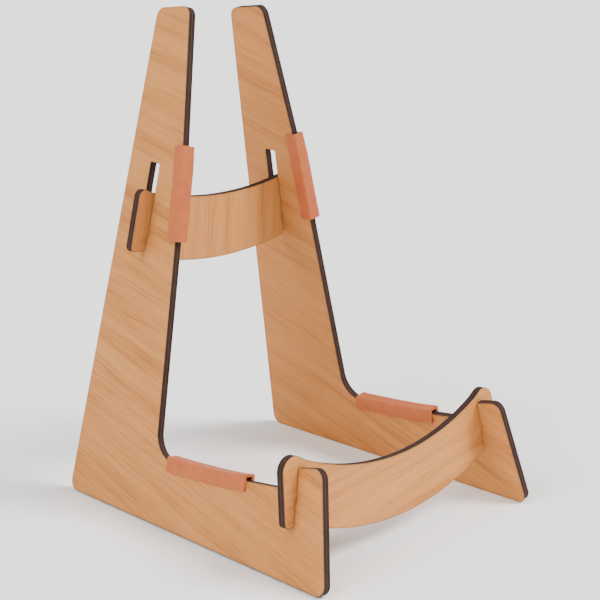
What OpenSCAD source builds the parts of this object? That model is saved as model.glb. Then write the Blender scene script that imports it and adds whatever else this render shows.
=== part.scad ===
// Knock-down guitar stand: two side boards lean in towards each other, two cross boards
// are halved into them, and four soft channels guard the edges that the guitar touches.
// +X is to the right, -Y is the front, +Z is up. The origin lies on the floor, in the
// middle of the stand. A side board is drawn flat, with its first coordinate forward
// from its back corner and its second up along the board.

/* [Boards] */
// Thickness of each board
board_t = 6; // [5:0.1:7.5]
// Thickness of the veneer on each face of a board
veneer_t = 0.5; // [0.3:0.1:0.9]
// Gap between a cross board and the walls of the slot or notch that it crosses
joint_gap = 0.25; // [0.2:0.05:0.4]
// Gap left above the bottom of a slot, where a cross board rests
seat_gap = 0.3; // [0.2:0.05:0.5]
// How far the face veneers stop short of a side board's bottom edge
foot_ease = 0.3; // [0.2:0.1:1]

/* [Stance] */
// Distance between the inner faces of the side boards at the floor
floor_gap = 227; // [185:1:290]
// Inward lean of each side board, in degrees
side_lean = 11.7; // [8:0.1:14]

/* [Side board outline] */
// Length of the bottom edge, between its sharp corners
base_len = 285; // [265:1:345]
// Height of the back edge, along the board
back_h = 389; // [335:1:470]
// Forward lean of the back edge, in degrees
back_lean = 4.65; // [4:0.05:5.5]
// Width across the top of the upright
tip_w = 37; // [32:1:44]
// Rise of the top edge towards the front, in degrees
tip_rise = 3.1; // [0:0.1:6]
// Height at which the upright's front edge bends
bend_h = 269; // [255:1:310]
// Distance from the back corner to that bend
bend_x = 84.4; // [78:0.1:92]
// Distance from the back corner to the foot of the upright's front edge
heel_x = 98.4; // [93:0.1:112]
// Height of the arm where it meets the upright
heel_h = 50.3; // [42:0.1:56]
// Depth of the arm's shallow dip, halfway between upright and lip
arm_dip = 2.05; // [1:0.05:4]
// Height of the arm at the lip
arm_front_h = 63; // [60:0.1:66]
// Radius of the arm's shallow dip
arm_r = 900; // [500:10:1000]
// Height of the lip's front corner
lip_h = 85.5; // [80:0.5:100]
// Width of the lip, front to back
lip_w = 38; // [35:0.5:42]
// Backward lean of the lip, in degrees
lip_lean = 12.6; // [10:0.1:14]
// Radius in the corner between upright and arm
heel_r = 20; // [12:1:26]
// Radius of the outer corners
corner_r = 8; // [4:0.5:9]
// Radius of the lip's rear corners
lip_r = 5.5; // [3:0.5:6]
// Radius of the upright's bend
bend_r = 60; // [20:5:120]

/* [Joints] */
// Height of the bottom of the front slot, along the side board
front_seat_h = 57; // [52:0.5:60]
// Distance from the lip's front edge to the front cross board, at that height
front_seat_back = 25.5; // [23:0.1:28]
// Backward lean of the front slot, in degrees
front_slot_lean = 6; // [4:0.1:8]
// Height of the bottom of the rear slot, along the side board
rear_seat_h = 212.3; // [195:0.1:220]
// Distance from the back corner to the rear slot's front wall, at that height
rear_slot_x = 54.9; // [52:0.1:58]
// Forward lean of the rear slot, in degrees
rear_slot_lean = 3; // [2.5:0.1:4]
// How much wider the rear slot is than the board that it holds
rear_slot_play = 4.8; // [4.6:0.1:6]
// Room in the rear slot above that board
rear_slot_room = 22; // [21.5:0.5:30]
// Radius in the rear slot's corners
slot_r = 1.2; // [0.5:0.1:2]
// Forward lean of the rear cross board, in degrees
rear_board_lean = 2.2; // [1.8:0.1:2.8]

/* [Front cross board] */
// Height of the top edge's middle above the seat
front_top = 6.3; // [2:0.1:10]
// Depth of the bottom edge's middle below the seat
front_drop = 39.6; // [30:0.1:46]
// Rise of the top edge from its middle to the side boards
front_top_rise = 26.3; // [18:0.1:32]
// Rise of the bottom edge from its middle to the side boards
front_bottom_rise = 23.1; // [16:0.1:27]
// How far each end passes the outer face of the side board, at the seat
front_reach = 11.1; // [8:0.1:15]
// Inward lean of each end, in degrees
front_end_lean = 3; // [0:0.5:12]
// Depth of the end tabs below the seat
front_tab_drop = 16; // [10:0.5:20]
// Radius of the tabs' top corners
front_tab_r = 11; // [5:0.5:13]

/* [Rear cross board] */
// Height of the top edge's middle above the seat
rear_top = 26.8; // [20:0.1:28]
// Depth of the bottom edge's middle below the seat
rear_drop = 24.8; // [20:0.1:32]
// Rise of the top edge from its middle to the side boards
rear_top_rise = 9.65; // [5:0.05:14]
// Rise of the bottom edge from its middle to the side boards
rear_bottom_rise = 9.65; // [5:0.05:14]
// How far each end passes the outer face of the side board, at the seat
rear_reach = 14.6; // [12:0.1:18]
// Inward lean of each end, in degrees
rear_end_lean = 12; // [0:0.5:14]
// Depth of the end tabs below the seat
rear_tab_drop = 8.5; // [6:0.5:14]
// Radius of the tabs' top corners
rear_tab_r = 6; // [3:0.5:9]

/* [Cross board corners] */
// Radius of the tabs' bottom corners
tab_foot_r = 4; // [2:0.5:5]
// Radius of the corner between the bottom edge and each notch
notch_r = 6; // [2:0.5:7]

/* [Guards] */
// Thickness of the soft channels' sides
guard_wall = 2.4; // [1.8:0.1:3]
// Thickness of the soft channels' webs
guard_web = 1.8; // [1.2:0.1:2.5]
// Gap between a web and the board's edge behind it
guard_gap = 2; // [0:0.1:3]
// How far the channels reach over the faces of the board
guard_reach = 7.5; // [6:0.1:11]
// Height of the lower end of the back guards, along the side board
back_guard_h = 214.5; // [205:0.5:230]
// Length of the back guards
back_guard_len = 72; // [60:1:88]
// Distance from the upright's foot to the rear end of the seat guards
seat_guard_back = 15.6; // [14:0.1:26]
// Length of the seat guards
seat_guard_len = 83; // [68:1:100]

/* [Hidden] */

// Largest angle between the points of a rounded corner, and the points of a long arc
arc_step = 9;
corner_steps = 4;
arc_steps = 20;
// Cuts run past the outline by this much
past = 5;
veneer_tint = "#d3a273";
core_tint = "#46342f";
guard_tint = "#cd8762";

// Where each layer of a board starts and stops, from its inner or front face
layers = [[0, veneer_t], [veneer_t, board_t - veneer_t], [board_t - veneer_t, board_t]];

// Corners of the side board
lip_front = [base_len - lip_h * tan(lip_lean), lip_h];
lip_back = lip_front - lip_w * [cos(lip_lean), sin(lip_lean)];
lip_foot = [lip_back[0] + (lip_back[1] - arm_front_h) * tan(lip_lean), arm_front_h];
heel = [heel_x, heel_h];
arm_mid = (heel + lip_foot) / 2 - [0, arm_dip];
bend = [bend_x, bend_h];
tip_back = [back_h * tan(back_lean), back_h];
tip_front = tip_back + tip_w * [cos(tip_rise), sin(tip_rise)];

// A rounded corner reaches this much less far than the sharp one
function shy(angle, r) = r / tan(angle / 2) - r;
depth_back = shy(90 - back_lean, corner_r);
depth_front = base_len - shy(90 - lip_lean, corner_r);
depth_mid = (depth_back + depth_front) / 2;
foot_lift = veneer_t * sin(side_lean);

// Lean of each cross board, positive towards the back
front_tilt = atan(tan(front_slot_lean) / cos(side_lean));
rear_tilt = -atan(tan(rear_board_lean) / cos(side_lean));
front_seat_x = base_len - front_seat_h * tan(lip_lean) - front_seat_back;
rear_seat_x = rear_slot_x - joint_gap;
rear_slot_w = board_t + rear_slot_play;
rear_slot_len = rear_top + rear_top_rise + rear_slot_room;

// Height of a seat above the floor, in the middle of the side board
function seat_z(h) = h * cos(side_lean) + board_t / 2 * sin(side_lean);

// Lean of the side boards as it shows on a cross board, and half the notch
function cross_lean(tilt) = atan(cos(tilt) * tan(side_lean));
notch_half = board_t / 2 + joint_gap;
// Distance from the middle to the side board's middle, at height h above the seat
function cross_x(z, tilt, h) =
    floor_gap / 2 + board_t / 2 / cos(side_lean) - (z + h * cos(tilt)) * tan(side_lean);

function unit(v) = v / norm(v);
function turn(v, a) = [v[0] * cos(a) - v[1] * sin(a), v[0] * sin(a) + v[1] * cos(a)];
function cross2(u, v) = u[0] * v[1] - u[1] * v[0];

// The points of a corner q of radius r, on the way from p to s
function corner(p, q, s, r) =
    let (
        u = unit(p - q),
        v = unit(s - q),
        half = acos(u * v) / 2,
        centre = q + unit(u + v) * r / sin(half),
        start = q + u * r / tan(half) - centre,
        sweep = -sign(cross2(u, v)) * (180 - 2 * half),
        steps = max(corner_steps, ceil(abs(sweep) / arc_step))
    )
    [for (i = [0 : steps]) centre + turn(start, sweep * i / steps)];

// An outline whose corners are [x, y, radius]
function rounded(c) =
    let (n = len(c))
    [for (i = [0 : n - 1])
        let (
            q = [c[i][0], c[i][1]],
            p = [c[(i + n - 1) % n][0], c[(i + n - 1) % n][1]],
            s = [c[(i + 1) % n][0], c[(i + 1) % n][1]]
        )
        each (c[i][2] > 0 ? corner(p, q, s, c[i][2]) : [q])];

function with_r(p, r) = [p[0], p[1], r];

// A slot that leans back from the front corner of its foot, which is sharp to seat a board
module slot(front_foot, lean, w, length, r) {
    translate(front_foot)
        rotate(lean)
            polygon(rounded([[-w, 0, r], [0, 0, 0], [0, length, r], [-w, length, r]]));
}

module side_outline() {
    difference() {
        polygon(rounded([
            [0, 0, corner_r],
            [base_len, 0, corner_r],
            with_r(lip_front, corner_r),
            with_r(lip_back, lip_r),
            with_r(lip_foot, lip_r),
            with_r(arm_mid, arm_r),
            with_r(heel, heel_r),
            with_r(bend, bend_r),
            with_r(tip_front, corner_r),
            with_r(tip_back, corner_r)
        ]));
        slot([front_seat_x, front_seat_h] + turn([joint_gap, 0], front_slot_lean),
             front_slot_lean, board_t + 2 * joint_gap, lip_h, 0);
        slot([rear_slot_x, rear_seat_h], -rear_slot_lean, rear_slot_w, rear_slot_len, slot_r);
    }
}

// Stands a flat left side board up, with its inner face on the plane of the drawing
module stand_up() {
    translate([-floor_gap / 2, depth_mid, -foot_lift])
        rotate([0, side_lean, 0])
            rotate([0, 0, -90])
                rotate([90, 0, 0])
                    children();
}

module side_core() {
    color(core_tint)
        stand_up()
            translate([0, 0, layers[1][0]])
                linear_extrude(layers[1][1] - layers[1][0])
                    side_outline();
}

module side_veneer(layer) {
    color(veneer_tint)
        stand_up()
            translate([0, 0, layer[0]])
                linear_extrude(layer[1] - layer[0])
                    difference() {
                        side_outline();
                        translate([-past, -past])
                            square([base_len + 2 * past, past + foot_ease]);
                    }
}

// Radius of an arc that rises by s at distance x from its lowest point
function arc_radius(x, s) = (x * x + s * s) / (2 * s);
// Points of a cross board's edge on an arc of radius r that dips to height low
function dip(low, r, x) = low + r - sqrt(r * r - x * x);
function dip_points(low, r, x0, x1) =
    [for (i = [0 : arc_steps])
        let (x = x0 + (x1 - x0) * i / arc_steps) [x, dip(low, r, x), 0]];

// Right half of a cross board, from the middle of the bottom edge to that of the top
function half_board(z, tilt, top, top_rise, drop, bottom_rise, reach, end_lean, tab_drop, tab_r) =
    let (
        lean = cross_lean(tilt),
        mid = [cross_x(z, tilt, 0), seat_gap],
        half = mid[0] + board_t / 2 / cos(side_lean) + reach,
        top_r = arc_radius(mid[0], top_rise),
        bottom_r = arc_radius(mid[0], bottom_rise),
        across = notch_half * [cos(lean), sin(lean)],
        down = [tan(lean), -1],
        inner = mid - across,
        outer = mid + across,
        inner_foot_y = dip(-drop, bottom_r, cross_x(z, tilt, -tab_drop) - notch_half / cos(lean)),
        inner_foot = inner + down * (inner[1] - inner_foot_y),
        outer_foot = outer + down * (outer[1] + tab_drop),
        tab_foot = [half + tab_drop * tan(end_lean), -tab_drop],
        tab_top_y = dip(top, top_r, half),
        tab_top = [half - tab_top_y * tan(end_lean), tab_top_y],
        flat = 2 * max(tab_r, notch_r)
    )
    concat(
        dip_points(-drop, bottom_r, 0, inner_foot[0] - flat),
        [
            with_r(inner_foot, notch_r),
            with_r(inner, 0),
            with_r(outer, 0),
            with_r(outer_foot, tab_foot_r / 2),
            with_r(tab_foot, tab_foot_r),
            with_r(tab_top, tab_r)
        ],
        dip_points(top, top_r, tab_top[0] - flat, 0)
    );

module cross_outline(right) {
    n = len(right);
    left = [for (i = [n - 2 : -1 : 1]) [-right[i][0], right[i][1], right[i][2]]];
    polygon(rounded(concat(right, left)));
}

// Sets a flat cross board on its seats, with its front face on the plane of the drawing
module seat(x, z, tilt) {
    translate([0, depth_mid - x, z - foot_lift])
        rotate([-tilt, 0, 0])
            rotate([90, 0, 0])
                children();
}

module front_cross(layer, tint) {
    z = seat_z(front_seat_h);
    color(tint)
        seat(front_seat_x, z, front_tilt)
            translate([0, 0, -layer[1]])
                linear_extrude(layer[1] - layer[0])
                    cross_outline(half_board(z, front_tilt, front_top, front_top_rise, front_drop,
                        front_bottom_rise, front_reach, front_end_lean, front_tab_drop, front_tab_r));
}

module rear_cross(layer, tint) {
    z = seat_z(rear_seat_h);
    color(tint)
        seat(rear_seat_x, z, rear_tilt)
            translate([0, 0, -layer[1]])
                linear_extrude(layer[1] - layer[0])
                    cross_outline(half_board(z, rear_tilt, rear_top, rear_top_rise, rear_drop,
                        rear_bottom_rise, rear_reach, rear_end_lean, rear_tab_drop, rear_tab_r));
}

// The stretch of a path from one value to another of coordinate k, which never turns back
function path_at(path, k, value) =
    let (other = lookup(value, [for (p = path) [p[k], p[1 - k]]]))
    k == 0 ? [value, other] : [other, value];
function stretch(path, k, from, to) =
    concat(
        [path_at(path, k, from)],
        [for (p = path) if ((p[k] - from) * (p[k] - to) < 0) p],
        [path_at(path, k, to)]
    );

// A band along a path, from out beyond it on its right to inn on its left
function away(path, i) =
    let (
        last = len(path) - 1,
        before = unit(path[max(i, 1)] - path[max(i, 1) - 1]),
        after = unit(path[min(i, last - 1) + 1] - path[min(i, last - 1)]),
        along = unit(before + after)
    )
    [along[1], -along[0]] / (along * after);
function band(path, out, inn) =
    concat(
        [for (i = [0 : len(path) - 1]) path[i] + away(path, i) * out],
        [for (i = [len(path) - 1 : -1 : 0]) path[i] - away(path, i) * inn]
    );

// Channel along an edge of the left side board, with the edge as its path
module guard(path) {
    color(guard_tint)
        stand_up() {
            translate([0, 0, -guard_wall])
                linear_extrude(board_t + 2 * guard_wall)
                    polygon(band(path, guard_gap + guard_web, -guard_gap));
            for (t = [-guard_wall, board_t])
                translate([0, 0, t])
                    linear_extrude(guard_wall)
                        polygon(band(path, guard_gap + guard_web, guard_reach));
        }
}

module back_guard() {
    edge = concat([heel], corner(heel, bend, tip_front, bend_r), [tip_front]);
    guard(stretch(edge, 1, back_guard_h, back_guard_h + back_guard_len));
}

module seat_guard() {
    edge = concat(
        [lip_foot],
        corner(lip_foot, arm_mid, heel, arm_r),
        corner(arm_mid, heel, bend, heel_r)
    );
    rear_x = heel_x + seat_guard_back;
    guard(stretch(edge, 0, rear_x + seat_guard_len, rear_x));
}

module on_right() {
    mirror([1, 0, 0])
        children();
}

module left_outer_veneer() { side_veneer(layers[2]); }
module left_core() { side_core(); }
module left_inner_veneer() { side_veneer(layers[0]); }
module right_outer_veneer() { on_right() side_veneer(layers[2]); }
module right_core() { on_right() side_core(); }
module right_inner_veneer() { on_right() side_veneer(layers[0]); }
module front_cross_front_veneer() { front_cross(layers[0], veneer_tint); }
module front_cross_core() { front_cross(layers[1], core_tint); }
module front_cross_rear_veneer() { front_cross(layers[2], veneer_tint); }
module rear_cross_front_veneer() { rear_cross(layers[0], veneer_tint); }
module rear_cross_core() { rear_cross(layers[1], core_tint); }
module rear_cross_rear_veneer() { rear_cross(layers[2], veneer_tint); }
module left_back_guard() { back_guard(); }
module left_seat_guard() { seat_guard(); }
module right_back_guard() { on_right() back_guard(); }
module right_seat_guard() { on_right() seat_guard(); }

left_outer_veneer();
left_core();
left_inner_veneer();
right_outer_veneer();
right_core();
right_inner_veneer();
front_cross_front_veneer();
front_cross_core();
front_cross_rear_veneer();
rear_cross_front_veneer();
rear_cross_core();
rear_cross_rear_veneer();
left_back_guard();
left_seat_guard();
right_back_guard();
right_seat_guard();
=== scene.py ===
import math

import bmesh
import bpy
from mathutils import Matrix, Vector, kdtree, noise
from mathutils.geometry import delaunay_2d_cdt


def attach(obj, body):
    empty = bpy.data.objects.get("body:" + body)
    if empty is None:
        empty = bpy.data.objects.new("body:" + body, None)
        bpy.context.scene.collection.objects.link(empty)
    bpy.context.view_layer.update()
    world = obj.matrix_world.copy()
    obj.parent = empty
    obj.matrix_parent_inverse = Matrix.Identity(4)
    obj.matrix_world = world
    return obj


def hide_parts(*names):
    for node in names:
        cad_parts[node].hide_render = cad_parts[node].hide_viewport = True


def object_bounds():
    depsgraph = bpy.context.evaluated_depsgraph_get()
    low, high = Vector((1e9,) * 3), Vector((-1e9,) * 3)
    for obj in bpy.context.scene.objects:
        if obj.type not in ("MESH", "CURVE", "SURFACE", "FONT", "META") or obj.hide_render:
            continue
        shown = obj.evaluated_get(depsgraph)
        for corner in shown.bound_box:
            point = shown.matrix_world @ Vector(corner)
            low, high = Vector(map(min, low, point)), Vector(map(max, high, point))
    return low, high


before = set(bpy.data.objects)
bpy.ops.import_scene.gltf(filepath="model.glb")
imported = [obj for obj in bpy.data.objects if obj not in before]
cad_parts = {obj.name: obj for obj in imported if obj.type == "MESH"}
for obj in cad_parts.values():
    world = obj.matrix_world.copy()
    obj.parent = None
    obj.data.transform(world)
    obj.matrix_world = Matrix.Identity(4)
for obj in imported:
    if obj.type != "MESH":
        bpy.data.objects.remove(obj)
cad_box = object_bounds()

MM = 0.001
UP = Vector((0, 0, 1))
FORWARD = Vector((0, -1, 0))
RIGHT = Vector((1, 0, 0))

# ---------------------------------------------------------------- camera and room
CAMERA_AZIMUTH = math.radians(-45.566)
CAMERA_ELEVATION = math.radians(13.866)
CAMERA_TARGET = Vector((0, -0.0031, 0.1625))
CAMERA_DISTANCE = 1.0056
CAMERA_LENS = 78.07
SENSOR_WIDTH = 36

# name, azimuth, elevation and apparent size in degrees, strength, tint
KEY_SUN = ("key", 38, 48, 30, 4.6, (1, 0.985, 0.96))
SIDE_SUN = ("side", -98, 40, 50, 3.1, (1, 1, 1))
WORLD_STRENGTH = 0.55

FLOOR_HALF = 30.0
FLOOR_DROP = 0.05 * MM
FLOOR_COLOUR = (0.97, 0.97, 0.965, 1)
FLOOR_ROUGHNESS = 0.75
BACKDROP_RADIUS = 12
BACKDROP_BELOW = BACKDROP_RADIUS / 8
BACKDROP_GLOW = 2.05


def direction(azimuth, elevation):
    """From the object towards a viewer at that azimuth and elevation."""
    flat = math.cos(elevation)
    return Vector((math.sin(azimuth) * flat, -math.cos(azimuth) * flat, math.sin(elevation)))


def aim(obj, back):
    obj.rotation_mode = "QUATERNION"
    obj.rotation_quaternion = (-back).to_track_quat("-Z", "Y")


def add(name, data):
    obj = bpy.data.objects.new(name, data)
    bpy.context.scene.collection.objects.link(obj)
    return obj


def make_camera():
    data = bpy.data.cameras.new("camera")
    data.sensor_width = SENSOR_WIDTH
    data.lens = CAMERA_LENS
    camera = add("camera", data)
    back = direction(CAMERA_AZIMUTH, CAMERA_ELEVATION)
    camera.location = CAMERA_TARGET + back * CAMERA_DISTANCE
    aim(camera, back)
    bpy.context.scene.camera = camera


def soft_sun(name, azimuth, elevation, spread, strength, tint):
    data = bpy.data.lights.new(name, "SUN")
    data.angle = math.radians(spread)
    data.energy = strength
    data.color = tint
    aim(add(name, data), direction(math.radians(azimuth), math.radians(elevation)))


def make_world():
    world = bpy.data.worlds.new("studio")
    bpy.context.scene.world = world
    world.use_nodes = True
    background = world.node_tree.nodes["Background"]
    background.inputs["Color"].default_value = (1, 1, 1, 1)
    background.inputs["Strength"].default_value = WORLD_STRENGTH


def make_floor(level):
    mesh = bpy.data.meshes.new("floor")
    half = FLOOR_HALF
    corners = [(-half, -half, 0), (half, -half, 0), (half, half, 0), (-half, half, 0)]
    mesh.from_pydata(corners, [], [(0, 1, 2, 3)])
    floor = add("floor", mesh)
    floor.location.z = level - FLOOR_DROP
    nodes = Nodes("floor")
    nodes.set("Base Color", FLOOR_COLOUR)
    nodes.set("Roughness", FLOOR_ROUGHNESS)
    mesh.materials.append(nodes.material)


def make_backdrop(level):
    """A far pale wall, seen only by eye: it neither lights the object nor shades it."""
    mesh = bpy.data.meshes.new("backdrop")
    work = bmesh.new()
    bmesh.ops.create_icosphere(work, subdivisions=4, radius=BACKDROP_RADIUS)
    buried = [v for v in work.verts if v.co.z < -BACKDROP_BELOW]
    bmesh.ops.delete(work, geom=buried, context="VERTS")
    work.to_mesh(mesh)
    work.free()
    backdrop = add("backdrop", mesh)
    backdrop.location.z = level
    backdrop.visible_diffuse = False
    backdrop.visible_glossy = False
    backdrop.visible_shadow = False
    nodes = Nodes("backdrop")
    nodes.set("Base Color", (0, 0, 0, 1))
    nodes.set("Emission Color", (1, 1, 1, 1))
    nodes.set("Emission Strength", BACKDROP_GLOW)
    mesh.materials.append(nodes.material)


# ---------------------------------------------------------------- materials
# The grain attribute holds millimetres along, across and through a board. The rim attribute holds
# millimetres along the outline and through the layer. A noise's stretch is in cycles per millimetre.
HONEY = ((0.600, 0.255, 0.066), (0.370, 0.128, 0.026), (0.64, 0.29, 0.09))
AMBER = ((0.670, 0.290, 0.080), (0.440, 0.160, 0.034), (0.70, 0.33, 0.11))
BROWNED = (0.17, 0.075, 0.030)
BURNT = (0.032, 0.016, 0.012)
SOOT_DARK, SOOT_LIGHT = (0.012, 0.006, 0.005), (0.040, 0.020, 0.016)
SOOT_PATCH = (0.050, 0.026, 0.020)
SOOT_LAYER = (0.070, 0.036, 0.028)
GLUE_LINE = (0.105, 0.058, 0.045)
RUBBER_DARK, RUBBER_LIGHT = (0.405, 0.092, 0.025), (0.475, 0.118, 0.034)
RUBBER_SPECK = (0.52, 0.14, 0.045)
# paler rubber: wear at the guards' ends, and a painted highlight along their outer rounded corners
RUBBER_WORN_AND_HIGHLIGHT = (0.58, 0.17, 0.06)
GRAIN_DRIFT = 16.0  # millimetres


class Nodes:
    """A material and short ways to add nodes to it."""

    def __init__(self, name):
        self.material = bpy.data.materials.new(name)
        self.material.use_nodes = True
        self.tree = self.material.node_tree
        self.shader = self.tree.nodes["Principled BSDF"]

    def set(self, socket, value):
        self.shader.inputs[socket].default_value = value

    def link(self, source, target):
        self.tree.links.new(source, target)

    def into(self, socket, source):
        self.link(source, self.shader.inputs[socket])

    def feed(self, node, index, value):
        if isinstance(value, bpy.types.NodeSocket):
            self.link(value, node.inputs[index])
        else:
            node.inputs[index].default_value = value

    def attribute(self, name, output):
        node = self.tree.nodes.new("ShaderNodeAttribute")
        node.attribute_name = name
        return node.outputs[output]

    def math(self, operation, a, b=0.0):
        node = self.tree.nodes.new("ShaderNodeMath")
        node.operation = operation
        self.feed(node, 0, a)
        self.feed(node, 1, b)
        return node.outputs[0]

    def times(self, a, b):
        return self.math("MULTIPLY", a, b)

    def noise(self, vector, stretch, detail, rough):
        place = self.tree.nodes.new("ShaderNodeMapping")
        self.link(vector, place.inputs["Vector"])
        place.inputs["Scale"].default_value = stretch
        node = self.tree.nodes.new("ShaderNodeTexNoise")
        self.link(place.outputs[0], node.inputs["Vector"])
        node.inputs["Scale"].default_value = 1.0
        node.inputs["Detail"].default_value = detail
        node.inputs["Roughness"].default_value = rough
        return node.outputs["Fac"]

    def ramp(self, factor, *stops):
        node = self.tree.nodes.new("ShaderNodeValToRGB")
        self.link(factor, node.inputs["Fac"])
        elements = node.color_ramp.elements
        while len(elements) < len(stops):
            elements.new(0.5)
        for element, (place, colour) in zip(elements, stops):
            element.position = place
            element.color = (*colour, 1)
        return node.outputs["Color"]

    def span(self, value, low, high, to_low=0.0, to_high=1.0):
        """Turns low..high smoothly into to_low..to_high."""
        node = self.tree.nodes.new("ShaderNodeMapRange")
        node.interpolation_type = "SMOOTHSTEP"
        for index, number in enumerate((value, low, high, to_low, to_high)):
            self.feed(node, index, number)
        return node.outputs["Result"]

    def mix(self, factor, base, colour):
        """The base with a share of one plain colour."""
        node = self.tree.nodes.new("ShaderNodeMix")
        node.data_type = "RGBA"
        share, under, over = [s for s in node.inputs if s.enabled]
        self.link(factor, share)
        self.link(base, under)
        over.default_value = (*colour, 1)
        return [s for s in node.outputs if s.enabled][0]

    def bump(self, height, strength, distance):
        node = self.tree.nodes.new("ShaderNodeBump")
        self.link(height, node.inputs["Height"])
        node.inputs["Strength"].default_value = strength
        node.inputs["Distance"].default_value = distance
        self.into("Normal", node.outputs[0])


def drifting(nodes, grain):
    """The grain's place, shifted slowly across it, so that the lines bend as in a sliced log."""
    drift = nodes.noise(grain, (0.006, 0.02, 0), 2.0, 0.5)
    shift = nodes.tree.nodes.new("ShaderNodeCombineXYZ")
    nodes.link(nodes.times(drift, GRAIN_DRIFT), shift.inputs[1])
    bent = nodes.tree.nodes.new("ShaderNodeVectorMath")
    bent.operation = "ADD"
    nodes.link(grain, bent.inputs[0])
    nodes.link(shift.outputs[0], bent.inputs[1])
    return bent.outputs[0]


def scorched(nodes, grain, base):
    """The cut wall is burnt nearly black, and its heat browns a hair's breadth of the face."""
    scorch = nodes.attribute("scorch", "Fac")
    patchy = nodes.noise(grain, (0.35, 0.35, 0.35), 3.0, 0.6)
    heat = nodes.times(nodes.span(scorch, 0.0, 0.6), nodes.span(patchy, 0.25, 0.75, 0.35, 0.9))
    base = nodes.mix(heat, base, BROWNED)
    return nodes.mix(nodes.span(scorch, 0.62, 0.85), base, BURNT)


def veneer_material(name, light, dark, flake):
    """Fine straight-grained veneer."""
    nodes = Nodes(name)
    grain = nodes.attribute("grain", "Vector")
    flow = drifting(nodes, grain)
    bands = nodes.noise(flow, (0.004, 0.10, 0), 3.0, 0.55)
    streaks = nodes.noise(flow, (0.014, 0.50, 0), 4.0, 0.62)
    fibres = nodes.noise(flow, (0.09, 2.6, 0), 3.0, 0.6)
    pores = nodes.noise(flow, (0.22, 4.5, 0), 2.0, 0.4)
    cloud = nodes.noise(grain, (0.02, 0.03, 0), 2.0, 0.5)
    tone = nodes.math("ADD", nodes.times(bands, 0.5), nodes.times(streaks, 0.5))
    middle = tuple((a * 2 + b) / 3 for a, b in zip(light, dark))
    base = nodes.ramp(tone, (0.36, dark), (0.5, middle), (0.62, light))
    base = nodes.mix(nodes.span(fibres, 0.35, 0.7, 0.0, 0.30), base, dark)
    base = nodes.mix(nodes.span(cloud, 0.3, 0.7, 0.0, 0.16), base, flake)
    dash = nodes.span(pores, 0.62, 0.70)
    base = nodes.mix(nodes.times(dash, 0.45), base, tuple(c * 0.45 for c in dark))
    line = nodes.span(streaks, 0.60, 0.72, 0.0, 0.45)
    base = nodes.mix(line, base, tuple(c * 0.6 for c in dark))
    nodes.into("Base Color", scorched(nodes, grain, base))
    nodes.into("Roughness", nodes.math("ADD", 0.50, nodes.times(streaks, 0.22)))
    nodes.set("Specular IOR Level", 0.22)
    height = nodes.math("SUBTRACT", nodes.times(fibres, 0.6), dash)
    nodes.bump(height, 0.28, 0.10 * MM)
    return nodes.material


def core_material():
    """Scorched cut wall: near black brown, with fine lines across the board and a paler glue line."""
    nodes = Nodes("scorched_core")
    rim = nodes.attribute("rim", "Vector")
    lines = nodes.noise(rim, (3.2, 0.12, 0), 3.0, 0.6)
    soot = nodes.noise(rim, (0.09, 0.35, 0), 3.0, 0.55)
    layers = nodes.noise(rim, (0.02, 2.2, 0), 3.0, 0.6)
    base = nodes.ramp(lines, (0.28, SOOT_DARK), (0.75, SOOT_LIGHT))
    base = nodes.mix(nodes.span(soot, 0.35, 0.7, 0.0, 0.55), base, SOOT_PATCH)
    base = nodes.mix(nodes.span(layers, 0.5, 0.75, 0.0, 0.4), base, SOOT_LAYER)
    across = nodes.tree.nodes.new("ShaderNodeSeparateXYZ")
    nodes.link(rim, across.inputs[0])
    middle = nodes.span(nodes.math("ABSOLUTE", across.outputs[1]), 0.15, 0.55, 1.0, 0.0)
    base = nodes.mix(nodes.times(middle, 0.4), base, GLUE_LINE)
    nodes.into("Base Color", base)
    nodes.into("Roughness", nodes.math("ADD", 0.62, nodes.times(soot, 0.25)))
    nodes.set("Specular IOR Level", 0.12)
    nodes.bump(nodes.math("ADD", lines, nodes.times(layers, 0.6)), 0.5, 0.12 * MM)
    return nodes.material


def guard_material():
    """Matt soft rubber with a faint mottle, a dusty bloom, paler worn ends and a painted highlight
    along the outer rounded corners.
    """
    nodes = Nodes("soft_rubber")
    place = nodes.attribute("grain", "Vector")
    mottle = nodes.noise(place, (0.12, 0.12, 0.12), 4.0, 0.6)
    speck = nodes.noise(place, (2.4, 2.4, 2.4), 2.0, 0.5)
    base = nodes.ramp(mottle, (0.3, RUBBER_DARK), (0.7, RUBBER_LIGHT))
    base = nodes.mix(nodes.span(speck, 0.62, 0.72, 0.0, 0.25), base, RUBBER_SPECK)
    # for guards the scorch attribute holds the painted highlight on the outer rounded corners and the
    # wear at the ends
    wear_and_highlight = nodes.attribute("scorch", "Fac")
    base = nodes.mix(nodes.times(wear_and_highlight, 0.28), base, RUBBER_WORN_AND_HIGHLIGHT)
    nodes.into("Base Color", base)
    nodes.into("Roughness", nodes.math("ADD", 0.56, nodes.times(mottle, 0.16)))
    nodes.set("Specular IOR Level", 0.25)
    nodes.set("Sheen Weight", 0.06)
    nodes.set("Sheen Roughness", 0.5)
    nodes.bump(speck, 0.16, 0.08 * MM)
    return nodes.material


# ---------------------------------------------------------------- reading boards off the frame
FACING = 0.9
SAME_LEVEL = 0.02 * MM
SAME_POINT_STEPS = 200  # points are the same if they round to the same 1/200 mm


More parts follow.
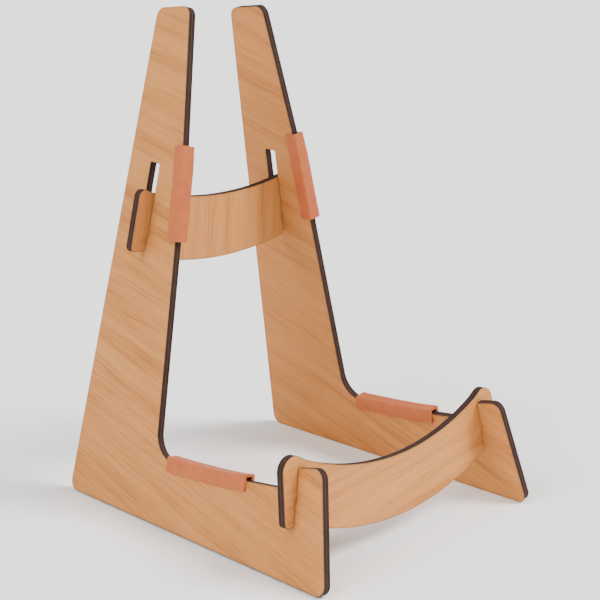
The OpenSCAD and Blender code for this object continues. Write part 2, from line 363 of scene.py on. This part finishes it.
class Plane:
    """A board's own axes: along it, up it, and out of its shown face."""

    def __init__(self, node, along, outward):
        sums = {}
        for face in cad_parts[node].data.polygons:
            key = tuple(round(abs(c), 2) for c in face.normal)
            total = sums.setdefault(key, [0.0, Vector((0, 0, 0))])
            sign = 1 if face.normal.dot(outward) > 0 else -1
            total[0] += face.area
            total[1] += face.normal * face.area * sign
        self.out = max(sums.values(), key=lambda total: total[0])[1].normalized()
        self.along = (along - self.out * along.dot(self.out)).normalized()
        self.up = (UP - self.out * UP.dot(self.out) - self.along * UP.dot(self.along)).normalized()

    def flat(self, point):
        return Vector((point.dot(self.along), point.dot(self.up)))

    def solid(self, place, depth):
        return self.along * place[0] + self.up * place[1] + self.out * depth

    def depths(self, node):
        reach = [v.co.dot(self.out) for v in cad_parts[node].data.vertices]
        return min(reach), max(reach)

    def open_edges(self, node, places):
        """Edges of the node's shown face that only one of its triangles has. places gets their ends."""
        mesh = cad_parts[node].data
        top = self.depths(node)[1]
        edges = {}

        def key(point):
            found = tuple(round(c / MM * SAME_POINT_STEPS) for c in point)
            places.setdefault(found, point)
            return found

        for face in mesh.polygons:
            corners = [mesh.vertices[i].co for i in face.vertices]
            if face.normal.dot(self.out) < FACING or abs(corners[0].dot(self.out) - top) > SAME_LEVEL:
                continue
            keys = [key(self.flat(c)) for c in corners]
            area = sum(a[0] * b[1] - a[1] * b[0] for a, b in zip(keys, keys[1:] + keys[:1]))
            if area < 0:
                keys.reverse()
            for a, b in zip(keys, keys[1:] + keys[:1]):
                if (b, a) in edges:
                    del edges[(b, a)]
                else:
                    edges[(a, b)] = True
        return edges

    def loops(self, node):
        """The outlines of the node's shown face, largest first: material lies on the left of each."""
        places = {}
        follow = {a: b for a, b in self.open_edges(node, places)}
        found = []
        while follow:
            at = min(follow)
            loop = []
            while at in follow:
                loop.append(places[at].copy())
                at = follow.pop(at)
            found.append(loop)
        found.sort(key=lambda loop: -abs(loop_area(loop)))
        return found


def loop_area(loop):
    return sum(a.x * b.y - a.y * b.x for a, b in zip(loop, loop[1:] + loop[:1])) / 2


def loop_lengths(loop):
    lengths = [0.0]
    for a, b in zip(loop, loop[1:]):
        lengths.append(lengths[-1] + (b - a).length)
    return lengths


def bend_at(loop, i):
    before = loop[i] - loop[i - 1]
    after = loop[(i + 1) % len(loop)] - loop[i]
    return math.degrees(before.angle_signed(after, 0))


# A chord belongs to an arc if it is about as long as a neighbour, and both its ends bend a little.
ARC_PARTS = 3
CHORD_RATIO = (0.6, 1.7)
CHORD_BEND = (0.2, 14)
SHORTEST_CHORD = 0.5 * MM
SHARPEST_MITRE = 0.5


def hermite(here, there, start, end, t):
    """A point between here and there, on a curve that has the two given directions at its ends."""
    return (
        here * (2 * t**3 - 3 * t**2 + 1) + start * (t**3 - 2 * t**2 + t)
        + there * (3 * t**2 - 2 * t**3) + end * (t**3 - t**2)
    )


def smooth_loop(loop):
    """Adds points where the outline is a run of short chords, so that arcs stay round."""
    bends = [bend_at(loop, i) for i in range(len(loop))]
    count = len(loop)
    made = []
    for i, here in enumerate(loop):
        made.append(here)
        j = (i + 1) % count
        there = loop[j]
        chord = there - here
        before = here - loop[i - 1]
        after = loop[(j + 1) % count] - there
        ratios = [side.length / chord.length for side in (before, after)]
        even = any(CHORD_RATIO[0] < ratio < CHORD_RATIO[1] for ratio in ratios)
        slight = all(CHORD_BEND[0] < abs(bends[k]) < CHORD_BEND[1] for k in (i, j))
        same_way = bends[i] * bends[j] > 0
        if not (even and slight and same_way) or chord.length < SHORTEST_CHORD:
            continue
        start = (before.normalized() + chord.normalized()).normalized() * chord.length
        end = (chord.normalized() + after.normalized()).normalized() * chord.length
        made += [hermite(here, there, start, end, k / ARC_PARTS) for k in range(1, ARC_PARTS)]
    return made


def spaced_loop(loop, step):
    """Splits long straight runs, so that colour along the rim can change evenly."""
    made = []
    for a, b in zip(loop, loop[1:] + loop[:1]):
        parts = max(1, math.ceil((b - a).length / step))
        made += [a.lerp(b, k / parts) for k in range(parts)]
    return made


def inset_loop(loop, distance):
    """The outline moved to its left, into the material."""
    count = len(loop)
    made = []
    for i, here in enumerate(loop):
        before = (here - loop[i - 1]).normalized()
        after = (loop[(i + 1) % count] - here).normalized()
        left = Vector((-before.y - after.y, before.x + after.x)).normalized()
        mitre = max(SHARPEST_MITRE, left.dot(Vector((-after.y, after.x))))
        made.append(here + left * distance / mitre)
    return made


# ---------------------------------------------------------------- building boards
ARRIS = 0.22 * MM
CORE_BURN = 0.07 * MM
RIM_STEP = 3 * MM
# how far inside the outline loose points lie, and how browned the face is there
FADES = ((0.7 * MM, 0.16), (1.9 * MM, 0.0), (6 * MM, 0.0))
LOOSE_CLEARANCE = 0.93
BOARD_SMOOTH = 35
# the back veneer is another leaf: turned a little, and cut from further along the log
BACK_TURN = math.radians(1.5)
BACK_SHIFT = 400


class Builder:
    """Collects vertices with the attributes that the materials read."""

    def __init__(self):
        self.points = []
        self.faces = []
        self.grain = []
        self.rim = []
        self.scorch = []

    def vertex(self, point, grain, rim, scorch):
        self.points.append(point)
        self.grain.append(grain)
        self.rim.append(rim)
        self.scorch.append(scorch)
        return len(self.points) - 1

    def finish(self, name, material, smooth_angle):
        mesh = bpy.data.meshes.new(name)
        mesh.from_pydata(self.points, [], self.faces)
        for title, values in (("grain", self.grain), ("rim", self.rim)):
            layer = mesh.attributes.new(title, "FLOAT_VECTOR", "POINT")
            layer.data.foreach_set("vector", [c for value in values for c in value])
        mesh.attributes.new("scorch", "FLOAT", "POINT").data.foreach_set("value", self.scorch)
        work = bmesh.new()
        work.from_mesh(mesh)
        bmesh.ops.delete(work, geom=[v for v in work.verts if not v.link_faces], context="VERTS")
        bmesh.ops.recalc_face_normals(work, faces=work.faces)
        work.to_mesh(mesh)
        work.free()
        mesh.shade_smooth()
        mesh.set_sharp_from_angle(angle=math.radians(smooth_angle))
        mesh.materials.append(material)
        return add(name, mesh)


def tube(a, b):
    """Four-sided faces between two closed rings of vertex ids."""
    count = len(a)
    return [(a[i], a[(i + 1) % count], b[(i + 1) % count], b[i]) for i in range(count)]


def fill(ids, flat, edges):
    """Triangles inside the edges, as lists of the given vertex ids."""
    _, _, faces, origin, _, _ = delaunay_2d_cdt(flat, edges, [], 1, 1e-9)
    return [[ids[origin[i][0]] for i in face] for face in faces]


def cap(build, plane, row, loose):
    """Fills a row of outlines, with loose points between them. All but the first are holes."""
    ids = [i for ring in row for i in ring] + loose
    edges = []
    for ring in row:
        start = ids.index(ring[0])
        edges += [(start + i, start + (i + 1) % len(ring)) for i in range(len(ring))]
    holes = [set(ring) for ring in row[1:]]
    faces = fill(ids, [plane.flat(build.points[i]) for i in ids], edges)
    build.faces += [face for face in faces if not any(hole.issuperset(face) for hole in holes)]


def inner_points(loops, reach):
    """Points that far inside the outlines, without those that a tight corner throws too near."""
    tree = kdtree.KDTree(sum(len(loop) for loop in loops))
    for i, place in enumerate(place for loop in loops for place in loop):
        tree.insert(place.to_3d(), i)
    tree.balance()
    thinned = [place for loop in loops for place in inset_loop(loop, reach)[::2]]
    return [place for place in thinned if tree.find(place.to_3d())[2] > LOOSE_CLEARANCE * reach]


def plate(name, plane, loops, rings, fades, grain_angle, shift, material):
    """A layer of a board. rings are (inset, depth, scorch) from one face to the other, in metres.

    fades are (reach, scorch) for loose points inside the last ring."""
    build = Builder()
    along = Vector((math.cos(grain_angle), math.sin(grain_angle)))
    middle = (rings[0][1] + rings[-1][1]) / 2

    def put(place, depth, length, scorch):
        grain = (
            place.dot(along) / MM + shift[0],
            (along.x * place.y - along.y * place.x) / MM + shift[1],
            depth / MM,
        )
        rim = (length / MM, (depth - middle) / MM, 0)
        return build.vertex(plane.solid(place, depth), grain, rim, scorch)

    rows = []
    for inset, depth, scorch in rings:
        row = []
        for loop in loops:
            pairs = zip(inset_loop(loop, inset), loop_lengths(loop))
            row.append([put(place, depth, length, scorch) for place, length in pairs])
        rows.append(row)
    for lower, upper in zip(rows, rows[1:]):
        for a, b in zip(lower, upper):
            build.faces += tube(a, b)
    loose = []
    for reach, scorch in fades:
        loose += [put(place, rings[-1][1], 0, scorch) for place in inner_points(loops, reach)]
    cap(build, plane, rows[0], [])
    cap(build, plane, rows[-1], loose)
    return build.finish(name, material, BOARD_SMOOTH)


def face_rings(start, end):
    """A veneer from its glued side to its shown side, with a softened arris and a browned rim."""
    side = 1 if end > start else -1
    return [
        (0.0, start, 1.0),
        (0.0, end - side * ARRIS, 1.0),
        (ARRIS * 0.12, end - side * ARRIS * 0.45, 1.0),
        (ARRIS * 0.45, end - side * ARRIS * 0.12, 0.8),
        (ARRIS, end, 0.42),
    ]


def core_rings(start, end):
    """The core's wall is burnt back a little behind the veneers."""
    step = (end - start) / 6
    return [
        (CORE_BURN * 0.3, start, 0.0),
        (CORE_BURN, start + step, 0.0),
        (CORE_BURN * 0.7, start + 3 * step, 0.0),
        (CORE_BURN, end - step, 0.0),
        (CORE_BURN * 0.3, end, 0.0),
    ]


def board(prefix, names, plane, body, grain_angle, shift, materials):
    """names are the board's three nodes from the shown face inwards."""
    for node, kind in zip(names, ("face", "core", "back")):
        loops = [spaced_loop(smooth_loop(loop), RIM_STEP) for loop in plane.loops(node)]
        low, high = plane.depths(node)
        if kind == "face":
            rings = face_rings(low, high)
        elif kind == "back":
            rings = face_rings(high, low)
        else:
            rings = core_rings(low, high)
        material = materials["core" if kind == "core" else prefix]
        angle = grain_angle + (BACK_TURN if kind == "back" else 0)
        lead = (shift[0] + (BACK_SHIFT if kind == "back" else 0), shift[1])
        fades = () if kind == "core" else FADES
        piece = plate(node + "_shown", plane, loops, rings, fades, angle, lead, material)
        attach(piece, body)
        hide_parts(node)


# ---------------------------------------------------------------- building guards
CORNER_BEND = 45
GUARD_FRONT = Vector((1, 0.35))
GUARD_STEPS = 44
GUARD_SMOOTH = 42
WEB_SAMPLES = 400
WEB_LEVEL = 0.05 * MM
THINNEST_WEB = 0.5 * MM
OUTER_ROUND = 0.6 * MM
INNER_ROUND = 0.5 * MM
LIP_SHARE = 0.3  # radius of the free edges' corners, as a share of the wall
# a seat guard's front end lifts off the board, over the last share of its length
SEAT_GUARD_LIFT = 0.6 * MM
LIFT_START = 0.72
LIFT_SHARE = 0.28
SIDE_LIFT = 0.4
# soft walls are never quite flat
SWELL = 0.07 * MM
DIMPLE = 0.06 * MM
WAVES = 9
WAVES_APART = 40
# how pale the outer rounded corners are painted, as a highlight, and how pale the worn ends are
CORNER_HIGHLIGHT = 0.6
END_WEAR = 0.48
WORN_END = 0.012


def split_band(loop):
    """The two longest runs between the corners of a channel's side: its two long edges."""
    corners = [i for i in range(len(loop)) if abs(bend_at(loop, i)) > CORNER_BEND]
    runs = []
    for a, b in zip(corners, corners[1:] + corners[:1]):
        run = [loop[a]]
        i = a
        while i != b:
            i = (i + 1) % len(loop)
            run.append(loop[i])
        runs.append(run)
    runs.sort(key=lambda run: -loop_lengths(run)[-1])
    return runs[0], runs[1]


def guard_edges(loop):
    """A channel's outer and inner long edges. The outer one faces forward, or up if it lies level."""
    first, second = split_band(loop)
    ahead = [run[len(run) // 2].dot(GUARD_FRONT) for run in (first, second)]
    outer, inner = (first, second) if ahead[0] > ahead[1] else (second, first)
    if abs(outer[0].x - outer[-1].x) > abs(outer[0].y - outer[-1].y):
        outer, inner = (first, second) if first[0].y > second[-1].y else (second, first)
    return outer, inner


def sample(path, count):
    """Evenly spaced (point, direction, share) along a path, with the bends eased."""
    lengths = loop_lengths(path)
    total = lengths[-1]

    def at(length):
        length = min(max(length, 0), total)
        for i in range(len(path) - 1):
            if length <= lengths[i + 1] or i == len(path) - 2:
                share = (length - lengths[i]) / (lengths[i + 1] - lengths[i])
                return path[i].lerp(path[i + 1], share)

    ease = total / count
    found = []
    for k in range(count + 1):
        here = total * k / count
        before, after = at(here - ease), at(here + ease)
        found.append((at(here), (after - before).normalized(), here / total))
    return found


def arc(centre_x, centre_y, radius, start, end, steps):
    angles = [math.radians(start + (end - start) * i / steps) for i in range(steps + 1)]
    return [(centre_x + radius * math.cos(a), centre_y + radius * math.sin(a)) for a in angles]


def web_thickness(plane, node, outer, level):
    """Distance from a channel's outer surface to the hollow behind its web."""
    close = [place for place, _, _ in sample(outer, WEB_SAMPLES)]
    points = [v.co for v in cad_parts[node].data.vertices]
    flat = [plane.flat(p) for p in points if abs(p.dot(plane.out) - level) < WEB_LEVEL]
    reach = [min((place - here).length for here in close) for place in flat]
    return min(r for r in reach if r > THINNEST_WEB)


class Channel:
    """One soft channel: its section, and the edge that it follows."""

    def __init__(self, node, layers, plane):
        self.plane = plane
        low, high = plane.depths(node)
        board_low, board_high = plane.depths(layers[0])[0], plane.depths(layers[1])[1]
        self.gap = board_high - board_low
        self.wall = (high - low - self.gap) / 2
        self.centre = (board_low + board_high) / 2
        loop = plane.loops(node)[0]
        outer, inner = guard_edges(loop)
        self.depth = min((p - outer[0]).length for p in (inner[0], inner[-1]))
        self.web = web_thickness(plane, node, outer, board_high)
        self.stops = sample(outer, GUARD_STEPS)
        self.front_last = outer[-1].x > outer[0].x
        halfway, way, _ = self.stops[len(self.stops) // 2]
        middle = sum(loop, Vector((0, 0))) / len(loop)
        self.turn = math.copysign(1, (middle - halfway).dot(Vector((-way.y, way.x))))

    def profile(self):
        """The section: x into the board from the outer surface, y through the board."""
        web, depth = self.web, self.depth
        outer, lip, inner = OUTER_ROUND, self.wall * LIP_SHARE, INNER_ROUND
        half = self.gap / 2
        edge = half + self.wall
        path = []
        path += arc(outer, -edge + outer, outer, 270, 180, 6)
        path += [(0.0, -edge * 0.5), (0.0, 0.0), (0.0, edge * 0.5)]
        path += arc(outer, edge - outer, outer, 180, 90, 6)
        path += [(depth * 0.55, edge)]
        path += arc(depth - lip, edge - lip, lip, 90, 0, 4)
        path += arc(depth - lip, half + lip, lip, 0, -90, 4)[1:]
        path += [(web + inner, half), (web, half - inner), (web, 0.0)]
        path += [(web, -half + inner), (web + inner, -half)]
        path += arc(depth - lip, -half - lip, lip, 90, 0, 4)
        path += arc(depth - lip, -edge + lip, lip, 0, -90, 4)[1:]
        path += [(depth * 0.55, -edge)]
        return path

    def row(self, build, stop, profile, lift):
        """The section's vertices at one stop along the edge."""
        place, way, share = stop
        inward = Vector((-way.y, way.x)) * self.turn
        front = share if self.front_last else 1 - share
        rise = lift * max(0.0, (front - LIFT_START) / LIFT_SHARE) ** 2
        at_end = min(share, 1 - share) < WORN_END
        made = []
        for x, y in profile:
            along = Vector((share * WAVES, x / MM * 0.12, y / MM * 0.25))
            wave = noise.noise(along + place.to_3d() * WAVES_APART)
            lifted = rise * (1 if x < self.web * 1.5 else SIDE_LIFT)
            flat = place + inward * (x - lifted) + inward * (SWELL * wave) * (x < self.web)
            outside = abs(y) > self.gap / 2 + self.wall * 0.9
            across = self.centre + y - math.copysign(DIMPLE * abs(wave), y) * outside
            # painted highlight: the outer rounded corners are paler along the whole length; the ends
            # are paler from wear
            end_wear_and_corner_highlight = CORNER_HIGHLIGHT if outside and x < OUTER_ROUND else END_WEAR if at_end else 0.0
            point = self.plane.solid(flat, across)
            made.append(build.vertex(point, tuple(c / MM for c in point), (0, 0, 0), end_wear_and_corner_highlight))
        return made


def guard(node, layers, plane, body, lift, material):
    """A soft channel swept along a board's edge.

    layers are the board's innermost and outermost layers. lift is how far its front end stands off."""
    channel = Channel(node, layers, plane)
    profile = channel.profile()
    build = Builder()
    rows = [channel.row(build, stop, profile, lift) for stop in channel.stops]
    for a, b in zip(rows, rows[1:]):
        build.faces += tube(a, b)
    section = [Vector(p) for p in profile]
    edges = [(i, (i + 1) % len(section)) for i in range(len(section))]
    for row in (rows[0], rows[-1]):
        build.faces += fill(row, section, edges)
    piece = build.finish(node + "_shown", material, GUARD_SMOOTH)
    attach(piece, body)
    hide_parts(node)


# ---------------------------------------------------------------- the stand
# grain direction in degrees, and where on the log each board's veneer is cut, in millimetres
SIDES = (("left", -RIGHT, -14, (0, 0)), ("right", RIGHT, -23, (900, 260)))
CROSSES = (("front", 7, (1700, 90)), ("rear", 88, (2600, 520)))


def make_side(side, outward, angle, shift, materials, rubber):
    plane = Plane(side + "_core", FORWARD, outward)
    names = [side + part for part in ("_outer_veneer", "_core", "_inner_veneer")]
    body = side + "_side"
    board("side", names, plane, body, math.radians(angle), shift, materials)
    layers = (names[2], names[0])
    guard(side + "_back_guard", layers, plane, body, 0.0, rubber)
    guard(side + "_seat_guard", layers, plane, body, SEAT_GUARD_LIFT, rubber)


def make_cross(cross, angle, shift, materials):
    plane = Plane(cross + "_cross_core", RIGHT, FORWARD)
    names = [cross + "_cross" + part for part in ("_front_veneer", "_core", "_rear_veneer")]
    board("cross", names, plane, "cross_boards", math.radians(angle), shift, materials)


def make_stand():
    materials = {
        "core": core_material(),
        "side": veneer_material("side_veneer", *HONEY),
        "cross": veneer_material("cross_veneer", *AMBER),
    }
    rubber = guard_material()
    for side, outward, angle, shift in SIDES:
        make_side(side, outward, angle, shift, materials, rubber)
    for cross, angle, shift in CROSSES:
        make_cross(cross, angle, shift, materials)


make_camera()
soft_sun(*KEY_SUN)
soft_sun(*SIDE_SUN)
make_world()
make_floor(cad_box[0].z)
make_backdrop(cad_box[0].z)
make_stand()
